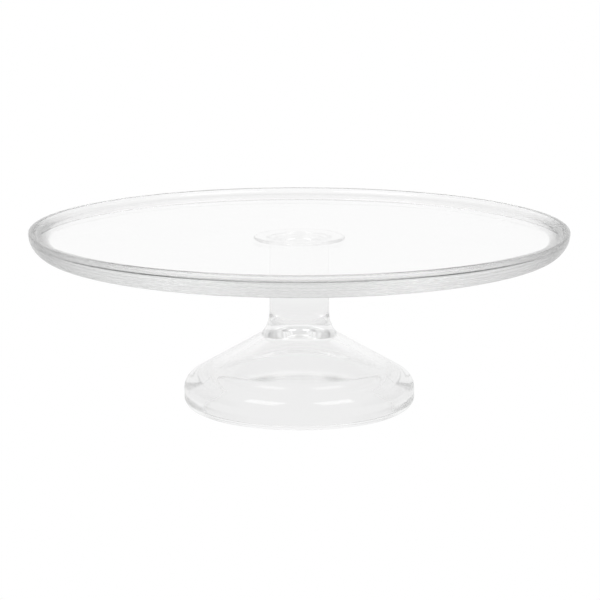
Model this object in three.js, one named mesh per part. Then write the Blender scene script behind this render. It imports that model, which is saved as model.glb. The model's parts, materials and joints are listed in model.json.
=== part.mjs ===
// Footed cake stand in clear pressed glass: a round plate with a low raised edge, cured with a thin ring of
// clear adhesive onto a pedestal, whose solid stem ends in a flange above and in a hollow conical foot below.
// Millimetres, +Z up, the origin on the table under the middle of the foot. Every piece is turned about Z.

import * as THREE from 'three';

// ---- Plate ----
const PLATE_RADIUS = 165;
const PLATE_THICKNESS = 10.2;
const DISH_DEPTH = 4.2;
const RIM_CORNER_RADIUS = 1.0;
const RIM_TOP_WIDTH = 2.0;
const RIM_UNDERCUT = 13.0;
const DISH_WALL_WIDTH = 4.0;

// ---- Pedestal ----
const PEDESTAL_HEIGHT = 97.0;
const STEM_RADIUS = 18.4;
const FLANGE_RADIUS = 28.0;
const FLANGE_THICKNESS = 1.5;
const FLANGE_EDGE_RADIUS = 0.5;
const FLANGE_FILLET_RADIUS = 2.0;
const RECESS_RADIUS = 16.8;
const RECESS_DEPTH = 1.2;
const RECESS_DRAFT = 0.6;
const NECK_FLARE_RADIUS = 21.0;
const NECK_SWEEP = THREE.MathUtils.degToRad(40);
const NECK_FILLET_RADIUS = 3.0;
const FOOT_RADIUS = 71.3;
const FOOT_BEAD_RADIUS = 6.2;
const FOOT_SHOULDER_HEIGHT = 11.3;
const FOOT_SHOULDER_RADIUS = 10.2;
const CONE_ANGLE = THREE.MathUtils.degToRad(30.4);

// ---- Hollow under the foot ----
const FOOT_RING_WIDTH = 6.0;
const CONE_WALL = 5.0;
const HOLLOW_SHOULDER_RADIUS = 14.0;
const HOLLOW_MOUTH_RADIUS = 0.8;
const HOLLOW_DOME_RADIUS = 22.0;

// ---- Adhesive ring between the flange and the plate ----
const BOND_THICKNESS = 0.3;
const BOND_SETBACK = 0.8;

// ---- Fineness of the turned shapes ----
const SEGMENTS = 72;
const ARC_STEP = THREE.MathUtils.degToRad(12);

// ---- Finish ----
const GLASS = { color: 0xf4f7f6, roughness: 0.03, metalness: 0 };
const ADHESIVE = { color: 0xf2f4f3, roughness: 0.08, metalness: 0 };

const QUARTER_TURN = Math.PI / 2;

// Points of a circular arc in the profile plane, both ends included. Angles are measured from the outward
// radius, anticlockwise.
function arc(centreRadius, centreHeight, radius, start, end) {
  const steps = Math.max(2, Math.round(Math.abs(end - start) / ARC_STEP));
  return Array.from({ length: steps + 1 }, (_, step) => {
    const angle = start + ((end - start) * step) / steps;
    return [centreRadius + radius * Math.cos(angle), centreHeight + radius * Math.sin(angle)];
  });
}

// Points of a quarter ellipse that starts upright at the outer radius and turns inwards to lie flat below.
function quarterEllipse(outerRadius, topHeight, width, depth) {
  const steps = Math.round(QUARTER_TURN / ARC_STEP);
  return Array.from({ length: steps + 1 }, (_, step) => {
    const angle = (QUARTER_TURN * step) / steps;
    return [outerRadius - width + width * Math.cos(angle), topHeight - depth * Math.sin(angle)];
  });
}

// A body of revolution. The profile runs outwards along the bottom, up, and back inwards. It starts and ends
// on the axis, or closes on itself.
function turned(name, profile, finish) {
  const points = profile.map(([radius, height]) => new THREE.Vector2(radius, height));
  const geometry = new THREE.LatheGeometry(points, SEGMENTS);
  geometry.rotateX(QUARTER_TURN);
  const mesh = new THREE.Mesh(geometry, new THREE.MeshStandardMaterial(finish));
  mesh.name = name;
  return mesh;
}

// ---- Foot outline ----
// The cone is a straight line tangent to the shoulder arc. Its height at a radius places everything above it.
const coneNormal = { out: Math.sin(CONE_ANGLE), up: Math.cos(CONE_ANGLE), angle: QUARTER_TURN - CONE_ANGLE };
const beadCentreRadius = FOOT_RADIUS - FOOT_BEAD_RADIUS;
const shoulderCentreRadius = FOOT_RADIUS - FOOT_SHOULDER_RADIUS;
const shoulderTopRadius = shoulderCentreRadius + FOOT_SHOULDER_RADIUS * coneNormal.out;
const shoulderTopHeight = FOOT_SHOULDER_HEIGHT + FOOT_SHOULDER_RADIUS * coneNormal.up;

function coneHeight(radius) {
  return shoulderTopHeight + (shoulderTopRadius - radius) * Math.tan(CONE_ANGLE);
}

// Inner face of the cone, one wall inside the outer one.
function hollowHeight(radius) {
  return coneHeight(radius) - CONE_WALL / coneNormal.up;
}

// A ball-shaped dome on the axis, the inner cone, a bend down into the upright edge, and the rounded mouth.
function hollowOutline() {
  const mouthRadius = beadCentreRadius - FOOT_RING_WIDTH - HOLLOW_MOUTH_RADIUS;
  const domeCentreHeight = hollowHeight(0) - HOLLOW_DOME_RADIUS / coneNormal.up;
  const bendCentreRadius = mouthRadius - HOLLOW_SHOULDER_RADIUS;
  const bendTangentRadius = bendCentreRadius + HOLLOW_SHOULDER_RADIUS * coneNormal.out;
  const bendCentreHeight = hollowHeight(bendTangentRadius) - HOLLOW_SHOULDER_RADIUS * coneNormal.up;
  const lipCentreRadius = mouthRadius + HOLLOW_MOUTH_RADIUS;
  return [
    [0, domeCentreHeight + HOLLOW_DOME_RADIUS],
    ...arc(0, domeCentreHeight, HOLLOW_DOME_RADIUS, QUARTER_TURN, coneNormal.angle).slice(1),
    ...arc(bendCentreRadius, bendCentreHeight, HOLLOW_SHOULDER_RADIUS, coneNormal.angle, 0),
    ...arc(lipCentreRadius, HOLLOW_MOUTH_RADIUS, HOLLOW_MOUTH_RADIUS, Math.PI, 3 * QUARTER_TURN),
  ];
}

// The flat ring that stands on the table lies between the rounded mouth and the bead.
function footOutline() {
  return [
    ...arc(beadCentreRadius, FOOT_BEAD_RADIUS, FOOT_BEAD_RADIUS, -QUARTER_TURN, 0),
    ...arc(shoulderCentreRadius, FOOT_SHOULDER_HEIGHT, FOOT_SHOULDER_RADIUS, 0, coneNormal.angle),
  ];
}

// ---- Stem outline ----
// The neck is a wide arc that sweeps down from the upright stem, then a small fillet that lands on the cone.
// The cone's slope and the sweep fix how high above the cone the arc's centre lies.
function neckOutline() {
  const centreRadius = STEM_RADIUS + NECK_FLARE_RADIUS;
  const reach = NECK_FLARE_RADIUS - NECK_FILLET_RADIUS;
  const meeting = Math.PI + NECK_SWEEP;
  const aboveCone = NECK_FILLET_RADIUS - reach * Math.cos(meeting - coneNormal.angle);
  const centreHeight = coneHeight(centreRadius) + aboveCone / coneNormal.up;
  const filletCentre = [centreRadius + reach * Math.cos(meeting), centreHeight + reach * Math.sin(meeting)];
  return [
    ...arc(...filletCentre, NECK_FILLET_RADIUS, coneNormal.angle + Math.PI, meeting),
    ...arc(centreRadius, centreHeight, NECK_FLARE_RADIUS, meeting, Math.PI).slice(1),
  ];
}

// A thin flange under the plate, with a shallow round recess in its top.
function flangeOutline() {
  const underside = PEDESTAL_HEIGHT - FLANGE_THICKNESS;
  const filletCentreRadius = STEM_RADIUS + FLANGE_FILLET_RADIUS;
  const edgeCentreRadius = FLANGE_RADIUS - FLANGE_EDGE_RADIUS;
  const recessFloor = PEDESTAL_HEIGHT - RECESS_DEPTH;
  return [
    ...arc(filletCentreRadius, underside - FLANGE_FILLET_RADIUS, FLANGE_FILLET_RADIUS, Math.PI, QUARTER_TURN),
    ...arc(edgeCentreRadius, underside + FLANGE_EDGE_RADIUS, FLANGE_EDGE_RADIUS, -QUARTER_TURN, 0),
    ...arc(edgeCentreRadius, PEDESTAL_HEIGHT - FLANGE_EDGE_RADIUS, FLANGE_EDGE_RADIUS, 0, QUARTER_TURN),
    [RECESS_RADIUS, PEDESTAL_HEIGHT],
    [RECESS_RADIUS - RECESS_DRAFT, recessFloor],
    [0, recessFloor],
  ];
}

function pedestal() {
  const outline = [...hollowOutline(), ...footOutline(), ...neckOutline(), ...flangeOutline()];
  return turned('pedestal', outline, GLASS);
}

// ---- Adhesive ring ----
const undersideHeight = PEDESTAL_HEIGHT + BOND_THICKNESS;

function bondRing() {
  const inner = RECESS_RADIUS + BOND_SETBACK;
  const outer = FLANGE_RADIUS - BOND_SETBACK;
  return turned('bond_ring', [
    [inner, PEDESTAL_HEIGHT],
    [outer, PEDESTAL_HEIGHT],
    [outer, undersideHeight],
    [inner, undersideHeight],
    [inner, PEDESTAL_HEIGHT],
  ], ADHESIVE);
}

// ---- Plate ----
function plate() {
  const floorHeight = undersideHeight + PLATE_THICKNESS;
  const rimHeight = floorHeight + DISH_DEPTH;
  const cornerCentreRadius = PLATE_RADIUS - RIM_CORNER_RADIUS;
  const cornerHeight = rimHeight - RIM_CORNER_RADIUS;
  const dishTopRadius = cornerCentreRadius - RIM_TOP_WIDTH;
  const outside = quarterEllipse(PLATE_RADIUS, cornerHeight, RIM_UNDERCUT, cornerHeight - undersideHeight);
  return turned('plate', [
    [0, undersideHeight],
    ...outside.reverse(),
    ...arc(cornerCentreRadius, cornerHeight, RIM_CORNER_RADIUS, 0, QUARTER_TURN).slice(1),
    ...quarterEllipse(dishTopRadius, rimHeight, DISH_WALL_WIDTH, rimHeight - floorHeight),
    [0, floorHeight],
  ], GLASS);
}

const cakeStand = new THREE.Group();
cakeStand.add(pedestal(), bondRing(), plate());

export default cakeStand;
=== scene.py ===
"""Looks of a footed glass cake stand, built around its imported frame: a pressed glass plate, a ring of cured
clear adhesive and a pressed glass pedestal, on a pale studio floor. Lengths are metres and +Z is up."""

import json
import math

import bpy
from bpy.props import FloatProperty, FloatVectorProperty, IntProperty, PointerProperty
from bpy.types import Operator, Panel, PropertyGroup
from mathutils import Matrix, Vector


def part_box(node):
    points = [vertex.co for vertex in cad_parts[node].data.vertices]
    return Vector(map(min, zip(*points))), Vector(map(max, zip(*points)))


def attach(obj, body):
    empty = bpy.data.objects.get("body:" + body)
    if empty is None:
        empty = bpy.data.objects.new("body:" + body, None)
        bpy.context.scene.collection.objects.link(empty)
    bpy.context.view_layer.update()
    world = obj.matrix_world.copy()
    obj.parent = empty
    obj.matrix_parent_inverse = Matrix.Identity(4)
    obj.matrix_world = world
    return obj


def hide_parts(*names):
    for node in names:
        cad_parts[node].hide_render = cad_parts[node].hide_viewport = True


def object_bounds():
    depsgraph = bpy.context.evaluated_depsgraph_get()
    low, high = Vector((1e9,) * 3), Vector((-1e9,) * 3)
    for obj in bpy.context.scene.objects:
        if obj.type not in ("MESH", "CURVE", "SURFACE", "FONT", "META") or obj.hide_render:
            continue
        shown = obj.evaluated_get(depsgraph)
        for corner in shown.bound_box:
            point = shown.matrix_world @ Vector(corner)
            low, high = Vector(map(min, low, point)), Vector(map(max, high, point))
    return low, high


bl_info = {
    "name": "Footed glass cake stand",
    "version": (1, 0, 0),
    "blender": (4, 5, 0),
    "location": "3D View > Sidebar > Cake Stand",
    "description": "Turns a pressed glass cake stand and sets it in a white studio",
    "category": "Add Mesh",
}

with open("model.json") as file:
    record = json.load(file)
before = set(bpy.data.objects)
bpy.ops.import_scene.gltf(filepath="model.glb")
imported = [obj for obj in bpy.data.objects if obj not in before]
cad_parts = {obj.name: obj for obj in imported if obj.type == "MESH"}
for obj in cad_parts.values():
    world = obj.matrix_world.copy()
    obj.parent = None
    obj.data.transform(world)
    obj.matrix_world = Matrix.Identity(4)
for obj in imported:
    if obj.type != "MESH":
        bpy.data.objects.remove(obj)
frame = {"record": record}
cad_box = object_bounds()
plate_low, plate_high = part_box("plate")
_, pedestal_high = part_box("pedestal")
bond_low, bond_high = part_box("bond_ring")
mount_height = {mount["name"]: mount["pos_m"][2] for mount in frame["record"]["mounts"]}

BODY = "root"
QUARTER_TURN = math.pi / 2
ARC_STEP = math.radians(3)
SHARP_ANGLE = math.radians(25)
SUPPORT = 0.0004
LONG_STRETCH = 4 * SUPPORT
MERGE_DISTANCE = 1e-6
SKIN = "matt"

# Ripple and smears of the glass
RIPPLE_DETAIL = 1
SMEAR_DETAIL = 4
SMEAR_DISTORTION = 0.6
SMEAR_BOUNDS = (0.45, 0.75)
PLATE_SKIN = {"ripple_scale": 9, "ripple_height": 0.0002, "smear_scale": 14}
PEDESTAL_SKIN = {"ripple_scale": 22, "ripple_height": 0.0001, "smear_scale": 30}
ADHESIVE_SKIN = {"ripple_scale": 300, "ripple_height": 0.00001, "smear_scale": 400}

# Brightness of the studio. SEEN is what the camera sees directly. The other values are what the glass gets.
# SIDE_REACH is how far sideways a direction points, and SHADE_REACH is a distance from the stand's axis.
SEEN = 1.0
ROOM_GLOW = 0.8
SIDE_GLOW = 0.3
SIDE_REACH = (0.8, 0.95)
FLOOR_GLOW = 0.98
BACKDROP_GLOW = 0.97
# Painted shadow of the stand: near the stand's axis, the glow that the cards give the glass falls to
# FLOOR_SHADE
FLOOR_SHADE = 0.87
SHADE_REACH = (0.30, 0.43)

# How often light is followed through and off the glass
LIGHT_BOUNCES = 32
MIRROR_BOUNCES = 16

LENGTH = {"unit": "LENGTH", "subtype": "DISTANCE", "precision": 5}


# ---- Sizes and finishes that a user would change ----

class PlateSizes(PropertyGroup):
    """Sizes of the plate."""

    radius: FloatProperty(
        name="Radius", description="Outer radius of the rim", default=plate_high.x, **LENGTH)
    underside: FloatProperty(
        name="Underside", description="Height of the flat underside", default=plate_low.z, **LENGTH)
    floor: FloatProperty(
        name="Floor", description="Height of the flat floor that the cake stands on",
        default=mount_height["cake_rest"], **LENGTH)
    rim_top: FloatProperty(name="Rim top", description="Height of the rim", default=plate_high.z, **LENGTH)
    corner_radius: FloatProperty(
        name="Corner radius", description="Rounding of the rim's outer top corner", default=0.001, **LENGTH)
    rim_width: FloatProperty(
        name="Rim width", description="Flat width of the rim's top", default=0.002, **LENGTH)
    undercut: FloatProperty(
        name="Undercut", description="How far the outer wall curves in below the rim",
        default=0.013, **LENGTH)
    dish_wall: FloatProperty(
        name="Dish wall", description="Width of the curve from the rim down to the floor",
        default=0.004, **LENGTH)
    segments: IntProperty(name="Segments", description="Facets round the plate", default=384, min=64, max=512)


class PedestalSizes(PropertyGroup):
    """Sizes of the pedestal."""

    height: FloatProperty(
        name="Height", description="Height of the flange's top", default=pedestal_high.z, **LENGTH)
    foot_radius: FloatProperty(
        name="Foot radius", description="Outer radius of the foot", default=pedestal_high.x, **LENGTH)
    bead_radius: FloatProperty(
        name="Bead radius", description="Rounding under the foot's outer edge", default=0.0062, **LENGTH)
    shoulder_height: FloatProperty(
        name="Shoulder height", description="Height at which the foot's edge starts to turn into the cone",
        default=0.0113, **LENGTH)
    shoulder_radius: FloatProperty(
        name="Shoulder radius", description="Rounding from the foot's edge to the cone",
        default=0.0102, **LENGTH)
    cone_angle: FloatProperty(
        name="Cone angle", description="Slope of the cone", default=math.radians(30.4), subtype="ANGLE")
    stem_radius: FloatProperty(
        name="Stem radius", description="Radius of the solid stem", default=0.0184, **LENGTH)
    neck_sweep: FloatProperty(
        name="Neck sweep", description="Angle that the neck's curve turns through", default=math.radians(40),
        subtype="ANGLE")
    neck_flare: FloatProperty(
        name="Neck flare", description="Radius of the neck's curve", default=0.021, **LENGTH)
    neck_fillet: FloatProperty(
        name="Neck fillet", description="Rounding between the cone and the neck", default=0.003, **LENGTH)
    flange_radius: FloatProperty(
        name="Flange radius", description="Radius of the flange under the plate", default=0.028, **LENGTH)
    flange_thickness: FloatProperty(
        name="Flange thickness", description="Thickness of the flange at its edge", default=0.0015, **LENGTH)
    flange_edge: FloatProperty(
        name="Flange edge", description="Rounding of the flange's edge", default=0.0005, **LENGTH)
    flange_fillet: FloatProperty(
        name="Flange fillet", description="Rounding between the stem and the flange", default=0.002, **LENGTH)
    recess_radius: FloatProperty(
        name="Recess radius", description="Radius of the recess in the flange's top",
        default=0.0168, **LENGTH)
    recess_depth: FloatProperty(
        name="Recess depth", description="Depth of the recess in the flange's top", default=0.0012, **LENGTH)
    recess_draft: FloatProperty(
        name="Recess draft", description="How far the recess narrows to its floor", default=0.0006, **LENGTH)
    ring_width: FloatProperty(
        name="Ring width", description="Width of the flat ring that stands on the table",
        default=0.006, **LENGTH)
    cone_wall: FloatProperty(name="Cone wall", description="Thickness of the cone", default=0.005, **LENGTH)
    hollow_shoulder: FloatProperty(
        name="Hollow shoulder", description="Rounding inside the foot's shoulder", default=0.014, **LENGTH)
    hollow_mouth: FloatProperty(
        name="Hollow mouth", description="Rounding of the hollow's mouth", default=0.0008, **LENGTH)
    hollow_dome: FloatProperty(
        name="Hollow dome", description="Radius of the ball-shaped top of the hollow",
        default=0.022, **LENGTH)
    segments: IntProperty(
        name="Segments", description="Facets round the pedestal", default=288, min=64, max=512)


class BondSizes(PropertyGroup):
    """Sizes of the adhesive ring."""

    outer_radius: FloatProperty(
        name="Outer radius", description="Outer radius of the film", default=bond_high.x, **LENGTH)
    inner_radius: FloatProperty(
        name="Inner radius", description="Inner radius of the film", default=0.0176, **LENGTH)
    clearance: FloatProperty(
        name="Clearance", description="Gap kept to the glass above and below", default=0.00002, **LENGTH)
    bulge: FloatProperty(
        name="Bulge", description="How far the film's edges are rounded", default=0.0001, **LENGTH)
    segments: IntProperty(name="Segments", description="Facets round the film", default=192, min=64, max=512)


class Finishes(PropertyGroup):
    """Finishes of the glass and of the adhesive."""

    glass_index: FloatProperty(
        name="Glass index", description="Index of refraction of the glass", default=1.5)
    glass_density: FloatProperty(
        name="Glass density", description="How strongly a metre of glass dims what is seen through it",
        default=1.5)
    glass_tint: FloatVectorProperty(
        name="Glass tint", description="Colour that light keeps on its way through the glass",
        default=(0.62, 0.63, 0.62), size=3, subtype="COLOR", min=0, max=1)
    adhesive_index: FloatProperty(
        name="Adhesive index", description="Index of the film against the glass that it fills the gap of",
        default=1.03)
    clean_roughness: FloatProperty(
        name="Clean roughness", description="Roughness of the fire-polished surface", default=0.0,
        subtype="FACTOR", min=0, max=1)
    smear_roughness: FloatProperty(
        name="Smear roughness", description="Roughness where the glass was handled", default=0.03,
        subtype="FACTOR", min=0, max=1)
    edge_roughness: FloatProperty(
        name="Edge roughness", description="Added roughness of the plate's outer wall", default=0.18,
        subtype="FACTOR", min=0, max=1)
    hollow_roughness: FloatProperty(
        name="Hollow roughness", description="Added roughness of the hollow's bend and lip", default=0.12,
        subtype="FACTOR", min=0, max=1)


class StudioSizes(PropertyGroup):
    """The floor, the backdrop, the lamps and the camera."""

    floor_size: FloatProperty(
        name="Floor size", description="Side of the square floor", default=8.0, unit="LENGTH")
    backdrop_distance: FloatProperty(
        name="Backdrop distance", description="How far the backdrop stands behind the object", default=3.0,
        unit="LENGTH")
    backdrop_height: FloatProperty(
        name="Backdrop height", description="Height of the backdrop", default=3.2, unit="LENGTH")
    lamp_distance: FloatProperty(
        name="Lamp distance", description="Distance of both softboxes from the object",
        default=2.2, unit="LENGTH")
    lamp_azimuth: FloatProperty(
        name="Lamp azimuth", description="Angle of each softbox to the side of the camera",
        default=math.radians(46), subtype="ANGLE")
    lamp_elevation: FloatProperty(
        name="Lamp elevation", description="Angle of each softbox above the floor",
        default=math.radians(48), subtype="ANGLE")
    lamp_width: FloatProperty(
        name="Lamp width", description="Width of each softbox", default=1.2, unit="LENGTH")
    lamp_height: FloatProperty(
        name="Lamp height", description="Height of each softbox", default=0.9, unit="LENGTH")
    lamp_power: FloatProperty(
        name="Lamp power", description="Power of each softbox", default=10.0, unit="POWER")
    camera_distance: FloatProperty(
        name="Camera distance", description="Distance of the camera in front of the stand's axis",
        default=1.35534, unit="LENGTH")
    camera_height: FloatProperty(
        name="Camera height", description="Height of the camera above the floor",
        default=0.335025, unit="LENGTH")
    camera_pitch: FloatProperty(
        name="Camera pitch", description="How far the camera looks down", default=math.radians(11.237),
        subtype="ANGLE")
    camera_lens: FloatProperty(
        name="Camera lens", description="Focal length on a 36 mm sensor, in millimetres", default=134.475)
    camera_shift: FloatProperty(
        name="Camera shift", description="Sideways shift of the picture", default=0.0012)


# ---- Outlines in the turning plane ----

def arc(centre_radius, centre_height, radius, start, end):
    """Points of a circular arc, both ends included. Angles run anticlockwise from the outward radius."""
    steps = max(2, round(abs(end - start) / ARC_STEP))
    angles = [start + (end - start) * step / steps for step in range(steps + 1)]
    return [(centre_radius + radius * math.cos(a), centre_height + radius * math.sin(a)) for a in angles]


def quarter_ellipse(outer_radius, top_height, width, depth):
    """Points of a quarter ellipse that starts upright at the outer radius and ends flat below."""
    steps = round(QUARTER_TURN / ARC_STEP)
    angles = [QUARTER_TURN * step / steps for step in range(steps + 1)]
    return [(outer_radius - width + width * math.cos(a), top_height - depth * math.sin(a)) for a in angles]


def skinned(points, matt):
    """The points as (radius, height, matt). matt is 0 on a fire-polished skin and 1 as pressed."""
    return [(radius, height, matt) for radius, height in points]


def supported(points):
    """The outline with a point close to each end of every long straight stretch, so that shading stays flat
    there. Points that fall on their neighbour are left out."""
    result = [points[0]]
    for near, far in zip(points, points[1:]):
        reach = math.dist(near[:2], far[:2])
        if reach < MERGE_DISTANCE:
            continue
        if reach > LONG_STRETCH:
            share = SUPPORT / reach
            for t in (share, 1 - share):
                result.append(tuple(a + (b - a) * t for a, b in zip(near, far)))
        result.append(far)
    return result


def plate_outline(sizes):
    """The plate from the middle of its underside, round the rim, to the middle of its floor."""
    corner_centre = sizes.radius - sizes.corner_radius
    corner_height = sizes.rim_top - sizes.corner_radius
    dish_top = corner_centre - sizes.rim_width
    outside = quarter_ellipse(sizes.radius, corner_height, sizes.undercut, corner_height - sizes.underside)
    dish = quarter_ellipse(dish_top, sizes.rim_top, sizes.dish_wall, sizes.rim_top - sizes.floor)
    return [
        *skinned([(0, sizes.underside), outside[-1]], 0),
        *skinned(reversed(outside[:-1]), 1),
        *skinned(arc(corner_centre, corner_height, sizes.corner_radius, 0, QUARTER_TURN)[1:], 0),
        *skinned([*dish, (0, sizes.floor)], 0),
    ]


def foot_outline(sizes):
    """The foot from the top of its hollow, round its edge, up to where the cone starts."""
    out, up = math.sin(sizes.cone_angle), math.cos(sizes.cone_angle)
    normal = QUARTER_TURN - sizes.cone_angle
    shoulder_centre = sizes.foot_radius - sizes.shoulder_radius
    mouth = sizes.foot_radius - sizes.bead_radius - sizes.ring_width - sizes.hollow_mouth
    dome_centre = cone_height(sizes, 0) - (sizes.cone_wall + sizes.hollow_dome) / up
    bend_centre = mouth - sizes.hollow_shoulder
    bend_tangent = bend_centre + sizes.hollow_shoulder * out
    bend_height = cone_height(sizes, bend_tangent) - sizes.cone_wall / up - sizes.hollow_shoulder * up
    dome = arc(0, dome_centre, sizes.hollow_dome, QUARTER_TURN, normal)[1:]
    bend = arc(bend_centre, bend_height, sizes.hollow_shoulder, normal, 0)
    lip = arc(mouth + sizes.hollow_mouth, sizes.hollow_mouth, sizes.hollow_mouth, math.pi, 3 * QUARTER_TURN)
    bead = arc(sizes.foot_radius - sizes.bead_radius, sizes.bead_radius, sizes.bead_radius, -QUARTER_TURN, 0)
    shoulder = arc(shoulder_centre, sizes.shoulder_height, sizes.shoulder_radius, 0, normal)
    return [
        *skinned([(0, dome_centre + sizes.hollow_dome), *dome], 0),
        *skinned([*bend, *lip], 1),
        *skinned([*bead, *shoulder], 0),
    ]


def cone_height(sizes, radius):
    """Height of the cone's outer face at a radius. The cone is tangent to the shoulder."""
    out, up = math.sin(sizes.cone_angle), math.cos(sizes.cone_angle)
    tangent_radius = sizes.foot_radius - sizes.shoulder_radius * (1 - out)
    tangent_height = sizes.shoulder_height + sizes.shoulder_radius * up
    return tangent_height + (tangent_radius - radius) * math.tan(sizes.cone_angle)


def neck_outline(sizes):
    """The fillet and the wide arc that take the cone into the upright stem."""
    centre = sizes.stem_radius + sizes.neck_flare
    reach = sizes.neck_flare - sizes.neck_fillet
    normal = QUARTER_TURN - sizes.cone_angle
    meeting = math.pi + sizes.neck_sweep
    above_cone = sizes.neck_fillet - reach * math.cos(meeting - normal)
    height = cone_height(sizes, centre) + above_cone / math.cos(sizes.cone_angle)
    fillet_radius = centre + reach * math.cos(meeting)
    fillet_height = height + reach * math.sin(meeting)
    return [
        *arc(fillet_radius, fillet_height, sizes.neck_fillet, normal + math.pi, meeting),
        *arc(centre, height, sizes.neck_flare, meeting, math.pi),
    ]


def flange_outline(sizes):
    """The top of the stem: fillet, thin flange and shallow recess."""
    underside = sizes.height - sizes.flange_thickness
    fillet_centre = sizes.stem_radius + sizes.flange_fillet
    edge_centre = sizes.flange_radius - sizes.flange_edge
    recess_floor = sizes.height - sizes.recess_depth
    return [
        *arc(fillet_centre, underside - sizes.flange_fillet, sizes.flange_fillet, math.pi, QUARTER_TURN),
        *arc(edge_centre, underside + sizes.flange_edge, sizes.flange_edge, -QUARTER_TURN, 0),
        *arc(edge_centre, sizes.height - sizes.flange_edge, sizes.flange_edge, 0, QUARTER_TURN),
        (sizes.recess_radius, sizes.height),
        (sizes.recess_radius - sizes.recess_draft, recess_floor),
        (0, recess_floor),
    ]


def bond_outline(sizes):
    """A flat ring with rounded edges that closes on itself."""
    low = bond_low.z + sizes.clearance
    high = bond_high.z - sizes.clearance
    middle = (low + high) / 2
    half = (high - low) / 2
    outer = sizes.outer_radius - sizes.bulge
    inner = sizes.inner_radius + sizes.bulge
    steps = round(math.pi / ARC_STEP)
    turns = [math.pi * step / steps for step in range(steps + 1)]
    outer_edge = [(outer + sizes.bulge * math.sin(t), middle - half * math.cos(t)) for t in turns]
    inner_edge = [(inner - sizes.bulge * math.sin(t), middle + half * math.cos(t)) for t in turns]
    return skinned([*outer_edge, *inner_edge, outer_edge[0]], 0)


# ---- Turning an outline with Geometry Nodes ----

def link(tree, pairs):
    """Joins output and input sockets, given as (output, input) pairs."""
    for output, target in pairs:
        tree.links.new(output, target)


def math_node(tree, operation, *values):
    """A Math node. A value is a number, or a socket that is linked in."""
    node = tree.nodes.new("ShaderNodeMath")
    node.operation = operation
    for socket, value in zip(node.inputs, values):
        if isinstance(value, (int, float)):
            socket.default_value = value
        else:
            tree.links.new(value, socket)
    return node.outputs[0]


def turning_tree():
    """A node tree that turns an outline round +Z. Its vertices become rows of a grid, which is bent round."""
    tree = bpy.data.node_groups.new("turn_outline", "GeometryNodeTree")
    sockets = tree.interface
    sockets.new_socket("Outline", in_out="INPUT", socket_type="NodeSocketGeometry")
    sockets.new_socket("Outline points", in_out="INPUT", socket_type="NodeSocketInt")
    sockets.new_socket("Segments", in_out="INPUT", socket_type="NodeSocketInt")
    sockets.new_socket("Sharp angle", in_out="INPUT", socket_type="NodeSocketFloat")
    sockets.new_socket("Glass", in_out="INPUT", socket_type="NodeSocketMaterial")
    sockets.new_socket("Piece", in_out="OUTPUT", socket_type="NodeSocketGeometry")
    nodes = tree.nodes
    given = nodes.new("NodeGroupInput").outputs
    columns = math_node(tree, "ADD", given["Segments"], 1)
    grid = nodes.new("GeometryNodeMeshGrid")
    index = nodes.new("GeometryNodeInputIndex").outputs["Index"]
    row = math_node(tree, "FLOOR", math_node(tree, "DIVIDE", math_node(tree, "ADD", index, 0.5), columns))
    column = math_node(tree, "SUBTRACT", index, math_node(tree, "MULTIPLY", row, columns))
    turn = math_node(tree, "MULTIPLY", math_node(tree, "DIVIDE", column, given["Segments"]), 2 * math.pi)
    sample = nodes.new("GeometryNodeSampleIndex")
    sample.data_type = "FLOAT_VECTOR"
    skin = nodes.new("GeometryNodeSampleIndex")
    matt = nodes.new("GeometryNodeInputNamedAttribute")
    matt.inputs["Name"].default_value = SKIN
    store = nodes.new("GeometryNodeStoreNamedAttribute")
    store.inputs["Name"].default_value = SKIN
    position = nodes.new("GeometryNodeInputPosition").outputs["Position"]
    rotate = nodes.new("ShaderNodeVectorRotate")
    rotate.rotation_type = "Z_AXIS"
    place = nodes.new("GeometryNodeSetPosition")
    merge = nodes.new("GeometryNodeMergeByDistance")
    merge.inputs["Distance"].default_value = MERGE_DISTANCE
    outwards = nodes.new("GeometryNodeFlipFaces")
    smooth = nodes.new("GeometryNodeSetShadeSmooth")
    edge_angle = nodes.new("GeometryNodeInputMeshEdgeAngle").outputs["Unsigned Angle"]
    sharp = nodes.new("GeometryNodeSetShadeSmooth")
    sharp.domain = "EDGE"
    sharp.inputs["Shade Smooth"].default_value = False
    realize = nodes.new("GeometryNodeRealizeInstances")
    paint = nodes.new("GeometryNodeSetMaterial")
    done = nodes.new("NodeGroupOutput").inputs["Piece"]
    link(tree, [
        (given["Outline points"], grid.inputs["Vertices X"]),
        (columns, grid.inputs["Vertices Y"]),
        (given["Outline"], sample.inputs["Geometry"]),
        (position, sample.inputs["Value"]),
        (row, sample.inputs["Index"]),
        (sample.outputs["Value"], rotate.inputs["Vector"]),
        (turn, rotate.inputs["Angle"]),
        (given["Outline"], skin.inputs["Geometry"]),
        (matt.outputs["Attribute"], skin.inputs["Value"]),
        (row, skin.inputs["Index"]),
        (grid.outputs["Mesh"], store.inputs["Geometry"]),
        (skin.outputs["Value"], store.inputs["Value"]),
        (store.outputs["Geometry"], place.inputs["Geometry"]),
        (rotate.outputs["Vector"], place.inputs["Position"]),
        (place.outputs["Geometry"], merge.inputs["Geometry"]),
        (merge.outputs["Geometry"], outwards.inputs["Mesh"]),
        (outwards.outputs["Mesh"], smooth.inputs["Geometry"]),
        (smooth.outputs["Geometry"], sharp.inputs["Geometry"]),
        (math_node(tree, "GREATER_THAN", edge_angle, given["Sharp angle"]), sharp.inputs["Selection"]),
        (sharp.outputs["Geometry"], realize.inputs["Geometry"]),
        (realize.outputs["Geometry"], paint.inputs["Geometry"]),
        (given["Glass"], paint.inputs["Material"]),
        (paint.outputs["Geometry"], done),
    ])
    return tree


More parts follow.
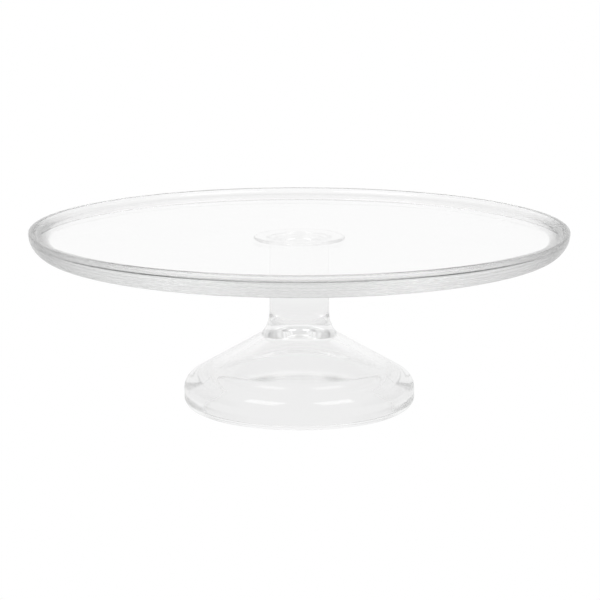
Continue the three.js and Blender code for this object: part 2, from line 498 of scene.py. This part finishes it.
def turned_piece(name, outline, segments, material):
    """Turns the outline into a plain closed mesh with that material."""
    points = supported(outline)
    mesh = bpy.data.meshes.new(name + "_outline")
    mesh.from_pydata([(radius, 0, height) for radius, height, _ in points],
                     [(n, n + 1) for n in range(len(points) - 1)], [])
    mesh.attributes.new(SKIN, "FLOAT", "POINT").data.foreach_set("value", [matt for _, _, matt in points])
    piece = bpy.data.objects.new(name, mesh)
    bpy.context.scene.collection.objects.link(piece)
    tree = bpy.data.node_groups.get("turn_outline") or turning_tree()
    modifier = piece.modifiers.new("turn", "NODES")
    modifier.node_group = tree
    values = {
        "Outline points": len(points),
        "Segments": segments,
        "Sharp angle": SHARP_ANGLE,
        "Glass": material,
    }
    for item in tree.interface.items_tree:
        if item.in_out == "INPUT" and item.name in values:
            modifier[item.identifier] = values[item.name]
    seen = piece.evaluated_get(bpy.context.evaluated_depsgraph_get())
    solid = bpy.data.meshes.new_from_object(seen)
    if not solid.polygons:
        raise RuntimeError(f"{name} has no faces: its outline could not be turned")
    solid.name = name
    solid.materials.clear()
    solid.materials.append(material)
    piece.modifiers.clear()
    piece.data = solid
    return piece


def hand_over(piece, node):
    """The piece stands for a CAD node, which is hidden, and moves with the only body."""
    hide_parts(node)
    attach(piece, BODY)


# ---- Materials ----

def surface_group():
    """A shader node group for the skin of pressed glass: a slow ripple and the faint smears of handling."""
    group = bpy.data.node_groups.new("pressed_surface", "ShaderNodeTree")
    sockets = group.interface
    sockets.new_socket("Ripple scale", in_out="INPUT", socket_type="NodeSocketFloat")
    sockets.new_socket("Smear scale", in_out="INPUT", socket_type="NodeSocketFloat")
    sockets.new_socket("Clean roughness", in_out="INPUT", socket_type="NodeSocketFloat")
    sockets.new_socket("Smear roughness", in_out="INPUT", socket_type="NodeSocketFloat")
    sockets.new_socket("Pressed roughness", in_out="INPUT", socket_type="NodeSocketFloat")
    sockets.new_socket("Ripple", in_out="OUTPUT", socket_type="NodeSocketFloat")
    sockets.new_socket("Roughness", in_out="OUTPUT", socket_type="NodeSocketFloat")
    nodes = group.nodes
    given = nodes.new("NodeGroupInput").outputs
    result = nodes.new("NodeGroupOutput").inputs
    place = nodes.new("ShaderNodeTexCoord").outputs["Object"]
    ripple = nodes.new("ShaderNodeTexNoise")
    ripple.inputs["Detail"].default_value = RIPPLE_DETAIL
    smear = nodes.new("ShaderNodeTexNoise")
    smear.inputs["Detail"].default_value = SMEAR_DETAIL
    smear.inputs["Distortion"].default_value = SMEAR_DISTORTION
    ramp = nodes.new("ShaderNodeMapRange")
    ramp.inputs["From Min"].default_value, ramp.inputs["From Max"].default_value = SMEAR_BOUNDS
    matt = nodes.new("ShaderNodeAttribute")
    matt.attribute_name = SKIN
    pressed = math_node(group, "MULTIPLY", matt.outputs["Fac"], given["Pressed roughness"])
    link(group, [
        (place, ripple.inputs["Vector"]),
        (given["Ripple scale"], ripple.inputs["Scale"]),
        (ripple.outputs["Fac"], result["Ripple"]),
        (place, smear.inputs["Vector"]),
        (given["Smear scale"], smear.inputs["Scale"]),
        (smear.outputs["Fac"], ramp.inputs["Value"]),
        (given["Clean roughness"], ramp.inputs["To Min"]),
        (given["Smear roughness"], ramp.inputs["To Max"]),
        (math_node(group, "ADD", ramp.outputs["Result"], pressed), result["Roughness"]),
    ])
    return group


def clear_material(name, index, roughness, ripple_scale, ripple_height, smear_scale):
    """A clear material whose ripple and smears come from the shared surface group. roughness is that of its
    clean, its smeared and its pressed skin."""
    material = bpy.data.materials.new(name)
    material.use_nodes = True
    tree = material.node_tree
    shader = tree.nodes["Principled BSDF"]
    shader.inputs["Base Color"].default_value = (1, 1, 1, 1)
    shader.inputs["Transmission Weight"].default_value = 1
    shader.inputs["IOR"].default_value = index
    surface = tree.nodes.new("ShaderNodeGroup")
    surface.node_tree = bpy.data.node_groups.get("pressed_surface") or surface_group()
    surface.inputs["Ripple scale"].default_value = ripple_scale
    surface.inputs["Smear scale"].default_value = smear_scale
    surface.inputs["Clean roughness"].default_value = roughness[0]
    surface.inputs["Smear roughness"].default_value = roughness[1]
    surface.inputs["Pressed roughness"].default_value = roughness[2]
    bump = tree.nodes.new("ShaderNodeBump")
    bump.inputs["Distance"].default_value = ripple_height
    link(tree, [
        (surface.outputs["Ripple"], bump.inputs["Height"]),
        (bump.outputs["Normal"], shader.inputs["Normal"]),
        (surface.outputs["Roughness"], shader.inputs["Roughness"]),
    ])
    return material


def pressed_glass(name, pressed, ripple_scale, ripple_height, smear_scale):
    """Clear pressed glass that dims and tints what is seen through a long way of it."""
    finishes = bpy.context.scene.cake_stand_finishes
    roughness = (finishes.clean_roughness, finishes.smear_roughness, pressed)
    material = clear_material(name, finishes.glass_index, roughness, ripple_scale, ripple_height, smear_scale)
    tree = material.node_tree
    absorb = tree.nodes.new("ShaderNodeVolumeAbsorption")
    absorb.inputs["Color"].default_value = (*finishes.glass_tint, 1)
    absorb.inputs["Density"].default_value = finishes.glass_density
    link(tree, [(absorb.outputs["Volume"], tree.nodes["Material Output"].inputs["Volume"])])
    return material


def glow_material(name, cast):
    """A white card with one brightness for the camera and another, cast, for the light it gives the glass.
    Near the stand that light falls to FLOOR_SHADE, over the distances in SHADE_REACH, which paints a shadow
    of the stand into the card's glow."""
    material = bpy.data.materials.new(name)
    material.use_nodes = True
    tree = material.node_tree
    tree.nodes.remove(tree.nodes["Principled BSDF"])
    glow = tree.nodes.new("ShaderNodeEmission")
    path = tree.nodes.new("ShaderNodeLightPath")
    reach = tree.nodes.new("ShaderNodeVectorMath")
    reach.operation = "LENGTH"
    # Painted shadow of the stand: the glow falls to FLOOR_SHADE near the stand's axis, for rays other than
    # camera rays
    painted_shadow = tree.nodes.new("ShaderNodeMapRange")
    painted_shadow.interpolation_type = "SMOOTHSTEP"
    painted_shadow.inputs["From Min"].default_value, painted_shadow.inputs["From Max"].default_value = SHADE_REACH
    painted_shadow.inputs["To Min"].default_value = FLOOR_SHADE
    painted_shadow.inputs["To Max"].default_value = cast
    level = tree.nodes.new("ShaderNodeMapRange")
    level.inputs["To Max"].default_value = SEEN
    place = tree.nodes.new("ShaderNodeTexCoord").outputs["Object"]
    link(tree, [
        (place, reach.inputs[0]),
        (reach.outputs["Value"], painted_shadow.inputs["Value"]),
        (painted_shadow.outputs["Result"], level.inputs["To Min"]),
        (path.outputs["Is Camera Ray"], level.inputs["Value"]),
        (level.outputs["Result"], glow.inputs["Strength"]),
        (glow.outputs["Emission"], tree.nodes["Material Output"].inputs["Surface"]),
    ])
    return material


# ---- Operators ----

class CAKESTAND_OT_plate(Operator):
    """Turns the plate"""

    bl_idname = "cakestand.plate"
    bl_label = "Make plate"

    def execute(self, context):
        sizes = context.scene.cake_stand_plate
        pressed = context.scene.cake_stand_finishes.edge_roughness
        glass = pressed_glass("plate_glass", pressed, **PLATE_SKIN)
        piece = turned_piece("glass_plate", plate_outline(sizes), sizes.segments, glass)
        hand_over(piece, "plate")
        return {"FINISHED"}


class CAKESTAND_OT_pedestal(Operator):
    """Turns the pedestal: flange, stem, neck and hollow foot"""

    bl_idname = "cakestand.pedestal"
    bl_label = "Make pedestal"

    def execute(self, context):
        sizes = context.scene.cake_stand_pedestal
        pressed = context.scene.cake_stand_finishes.hollow_roughness
        glass = pressed_glass("pedestal_glass", pressed, **PEDESTAL_SKIN)
        stem = [*neck_outline(sizes), *flange_outline(sizes)]
        outline = [*foot_outline(sizes), *skinned(stem, 0)]
        piece = turned_piece("glass_pedestal", outline, sizes.segments, glass)
        hand_over(piece, "pedestal")
        return {"FINISHED"}


class CAKESTAND_OT_bond(Operator):
    """Turns the ring of cured adhesive between the plate and the pedestal"""

    bl_idname = "cakestand.bond"
    bl_label = "Make adhesive ring"

    def execute(self, context):
        sizes = context.scene.cake_stand_bond
        finishes = context.scene.cake_stand_finishes
        roughness = (finishes.clean_roughness, finishes.smear_roughness, 0)
        film = clear_material("cured_adhesive", finishes.adhesive_index, roughness, **ADHESIVE_SKIN)
        piece = turned_piece("adhesive_ring", bond_outline(sizes), sizes.segments, film)
        hand_over(piece, "bond_ring")
        return {"FINISHED"}


class CAKESTAND_OT_studio(Operator):
    """Sets the floor, the backdrop, the softboxes and the camera"""

    bl_idname = "cakestand.studio"
    bl_label = "Set studio"

    def execute(self, context):
        studio = context.scene.cake_stand_studio
        make_floor(studio)
        make_surroundings(context.scene)
        for side in (-1, 1):
            make_softbox(studio, side)
        make_camera(context.scene, studio)
        return {"FINISHED"}


def make_floor(studio):
    """A level floor and an upright backdrop of pale glowing card. The floor card carries a painted shadow
    round the stand.
    """
    half = studio.floor_size / 2
    back = studio.backdrop_distance
    floor = [(-half, -half, 0), (half, -half, 0), (half, half, 0), (-half, half, 0)]
    top = studio.backdrop_height
    wall = [(-half, back, 0), (half, back, 0), (half, back, top), (-half, back, top)]
    for name, corners, cast in (("floor", floor, FLOOR_GLOW), ("backdrop", wall, BACKDROP_GLOW)):
        mesh = bpy.data.meshes.new(name)
        mesh.from_pydata(corners, [], [(0, 1, 2, 3)])
        mesh.materials.append(glow_material(name + "_card", cast))
        card = bpy.data.objects.new(name, mesh)
        bpy.context.scene.collection.objects.link(card)


def make_surroundings(scene):
    """A room that is darker at both sides, and that the camera itself sees as white."""
    world = bpy.data.worlds.new("room")
    world.use_nodes = True
    scene.world = world
    tree = world.node_tree
    path = tree.nodes.new("ShaderNodeLightPath")
    level = tree.nodes.new("ShaderNodeMapRange")
    level.inputs["To Max"].default_value = SEEN
    way = tree.nodes.new("ShaderNodeSeparateXYZ")
    sideways = math_node(tree, "ABSOLUTE", way.outputs["X"])
    side = tree.nodes.new("ShaderNodeMapRange")
    side.interpolation_type = "SMOOTHSTEP"
    side.inputs["From Min"].default_value, side.inputs["From Max"].default_value = SIDE_REACH
    side.inputs["To Min"].default_value = ROOM_GLOW
    side.inputs["To Max"].default_value = SIDE_GLOW
    link(tree, [
        (tree.nodes.new("ShaderNodeTexCoord").outputs["Generated"], way.inputs["Vector"]),
        (sideways, side.inputs["Value"]),
        (side.outputs["Result"], level.inputs["To Min"]),
        (path.outputs["Is Camera Ray"], level.inputs["Value"]),
        (level.outputs["Result"], tree.nodes["Background"].inputs["Strength"]),
    ])
    tree.nodes["Background"].inputs["Color"].default_value = (1, 1, 1, 1)


def make_softbox(studio, side):
    """A rectangular lamp on one side of the camera, turned to the object."""
    lamp = bpy.data.lights.new("softbox", "AREA")
    lamp.shape = "RECTANGLE"
    lamp.size = studio.lamp_width
    lamp.size_y = studio.lamp_height
    lamp.energy = studio.lamp_power
    middle = (cad_box[0] + cad_box[1]) / 2
    azimuth, elevation = side * studio.lamp_azimuth, studio.lamp_elevation
    towards = Vector((math.sin(azimuth) * math.cos(elevation), -math.cos(azimuth) * math.cos(elevation),
                      math.sin(elevation)))
    box = bpy.data.objects.new("softbox", lamp)
    box.location = middle + towards * studio.lamp_distance
    box.rotation_euler = towards.to_track_quat("Z", "Y").to_euler()
    bpy.context.scene.collection.objects.link(box)


def make_camera(scene, studio):
    """A long lens in front of the stand, a little above it."""
    data = bpy.data.cameras.new("camera")
    data.lens = studio.camera_lens
    data.shift_x = studio.camera_shift
    camera = bpy.data.objects.new("camera", data)
    camera.location = (0, -studio.camera_distance, studio.camera_height)
    camera.rotation_euler = (QUARTER_TURN - studio.camera_pitch, 0, 0)
    scene.collection.objects.link(camera)
    scene.camera = camera
    scene.view_settings.view_transform = "Standard"
    scene.cycles.max_bounces = LIGHT_BOUNCES
    scene.cycles.transmission_bounces = LIGHT_BOUNCES
    scene.cycles.glossy_bounces = MIRROR_BOUNCES


class CAKESTAND_PT_panel(Panel):
    """Sidebar panel with the sizes, the finishes and the operators"""

    bl_label = "Cake Stand"
    bl_idname = "CAKESTAND_PT_panel"
    bl_space_type = "VIEW_3D"
    bl_region_type = "UI"
    bl_category = "Cake Stand"

    def draw(self, context):
        for name, (group, _, operator) in SECTIONS.items():
            box = self.layout.box()
            settings = getattr(context.scene, name)
            for prop in group.__annotations__:
                box.prop(settings, prop)
            if operator:
                box.operator(operator.bl_idname)


SECTIONS = {
    "cake_stand_finishes": (Finishes, "Finishes", None),
    "cake_stand_plate": (PlateSizes, "Plate", CAKESTAND_OT_plate),
    "cake_stand_pedestal": (PedestalSizes, "Pedestal", CAKESTAND_OT_pedestal),
    "cake_stand_bond": (BondSizes, "Adhesive ring", CAKESTAND_OT_bond),
    "cake_stand_studio": (StudioSizes, "Studio", CAKESTAND_OT_studio),
}


def register():
    for name, (group, label, operator) in SECTIONS.items():
        bpy.utils.register_class(group)
        setattr(bpy.types.Scene, name, PointerProperty(name=label, type=group))
        if operator:
            bpy.utils.register_class(operator)
    bpy.utils.register_class(CAKESTAND_PT_panel)


def unregister():
    bpy.utils.unregister_class(CAKESTAND_PT_panel)
    for name, (group, _, operator) in reversed(SECTIONS.items()):
        if operator:
            bpy.utils.unregister_class(operator)
        delattr(bpy.types.Scene, name)
        bpy.utils.unregister_class(group)


def main():
    """Builds the stand and its studio."""
    register()
    bpy.ops.cakestand.studio()
    bpy.ops.cakestand.plate()
    bpy.ops.cakestand.pedestal()
    bpy.ops.cakestand.bond()


if __name__ == "__main__":
    main()
